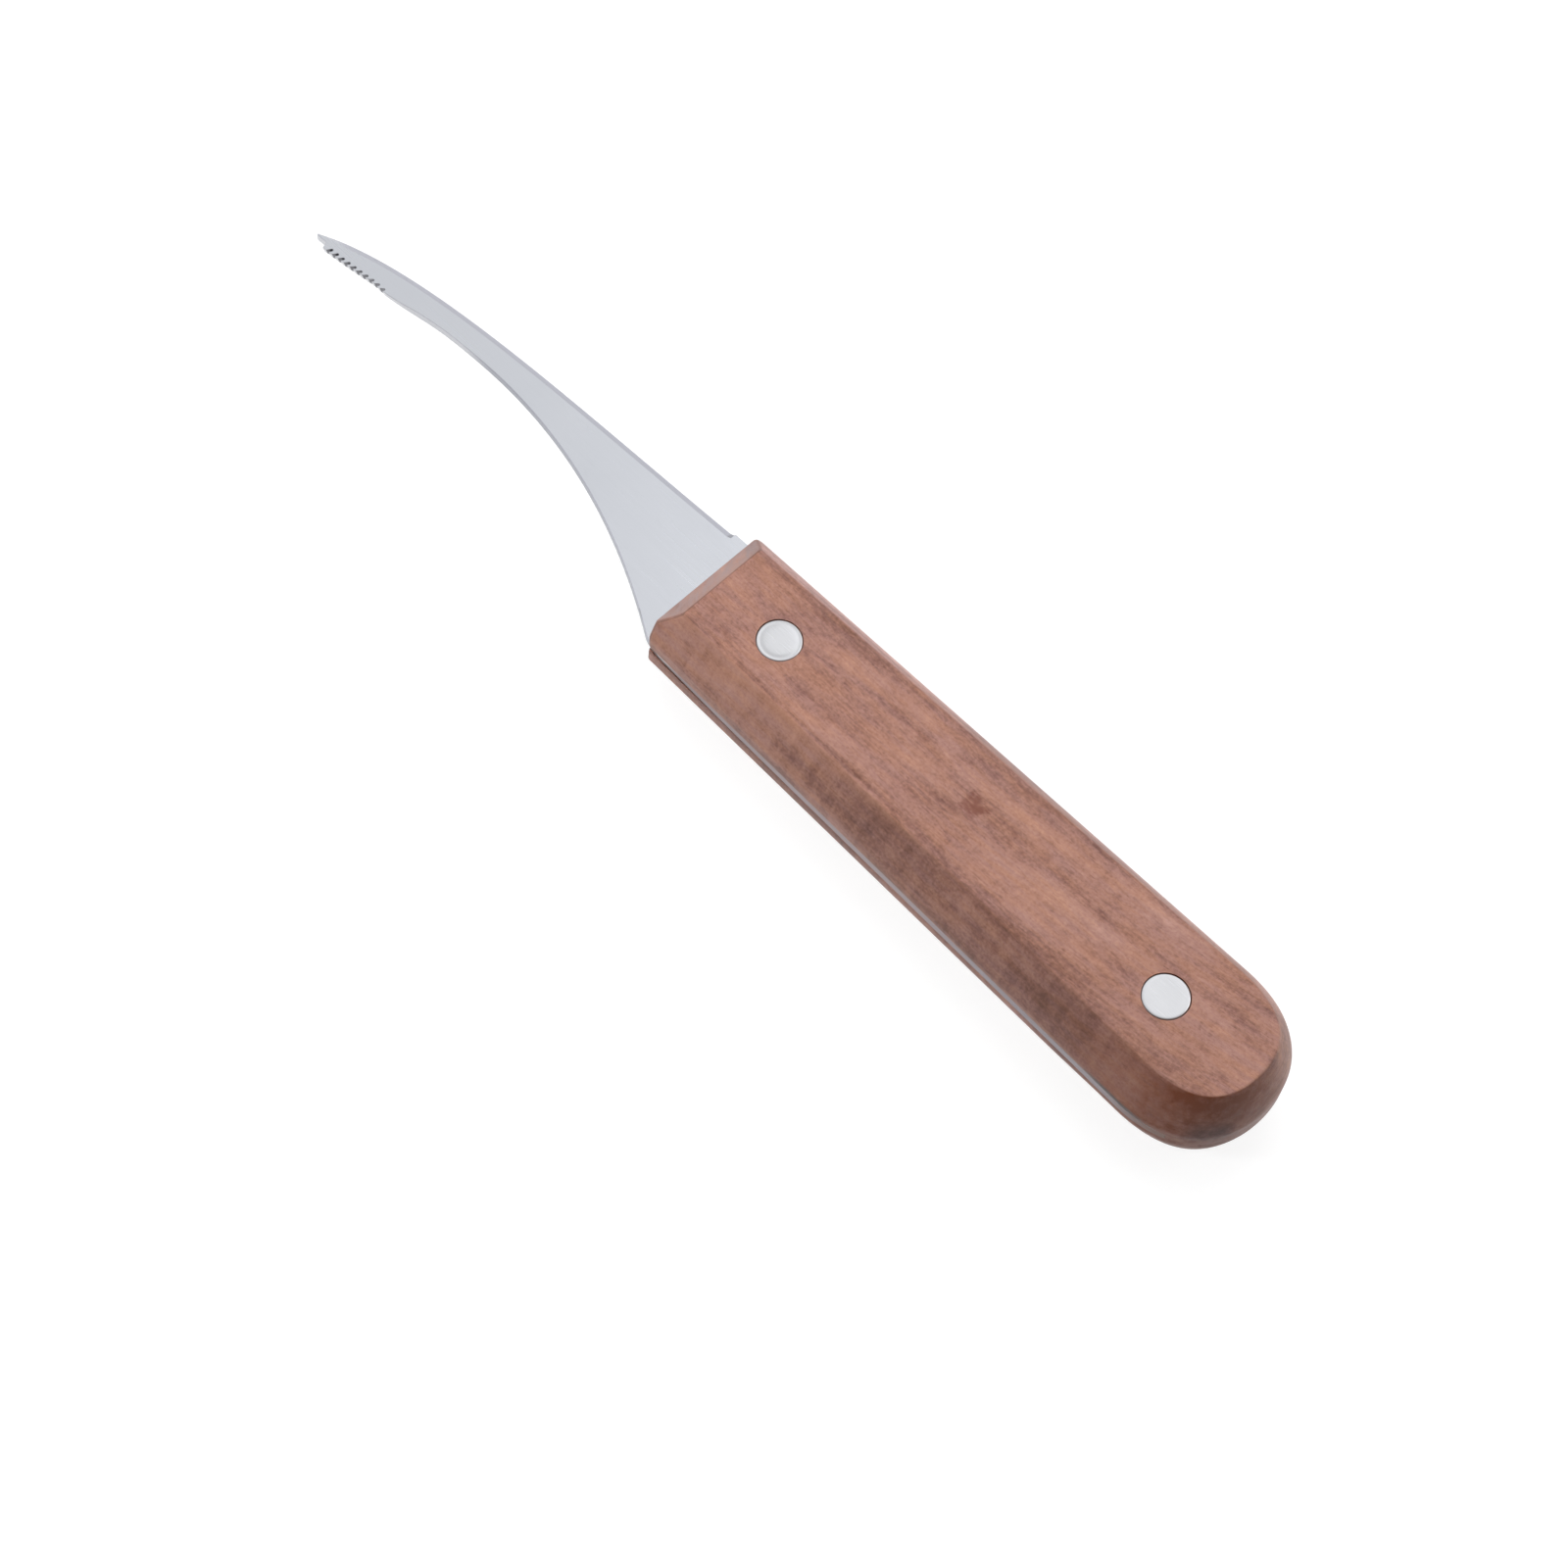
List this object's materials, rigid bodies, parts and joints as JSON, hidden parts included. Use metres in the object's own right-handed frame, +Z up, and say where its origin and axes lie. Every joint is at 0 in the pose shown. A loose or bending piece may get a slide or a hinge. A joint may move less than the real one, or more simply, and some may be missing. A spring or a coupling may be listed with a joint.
{
  "type": "shrimp deveiner",
  "caption": "Hand knife for deveining shrimp: slim curved steel blade with saw teeth at the tip of its concave edge, and a long tang riveted into the slot of a bevelled wooden handle.",
  "frame": {"origin": "under the middle of the knife's box, on the plane of the handle's rear flat face that it lies on", "axes": "+X along the knife from tip to butt, +Y towards the blade's convex edge, +Z up out of the handle's front flat face"},
  "size_m": [0.1648, 0.0228, 0.016],
  "materials": {
    "blade_steel": "satin stainless steel",
    "handle_wood": "oiled reddish brown hardwood, satin",
    "rivet_aluminium": "smooth, ground flush"
  },
  "bodies": {
    "root": {"blade_tang": "blade_steel", "handle": "handle_wood", "front_rivet_female": "rivet_aluminium", "front_rivet_male": "rivet_aluminium", "rear_rivet_female": "rivet_aluminium", "rear_rivet_male": "rivet_aluminium"}
  },
  "joints": []
}
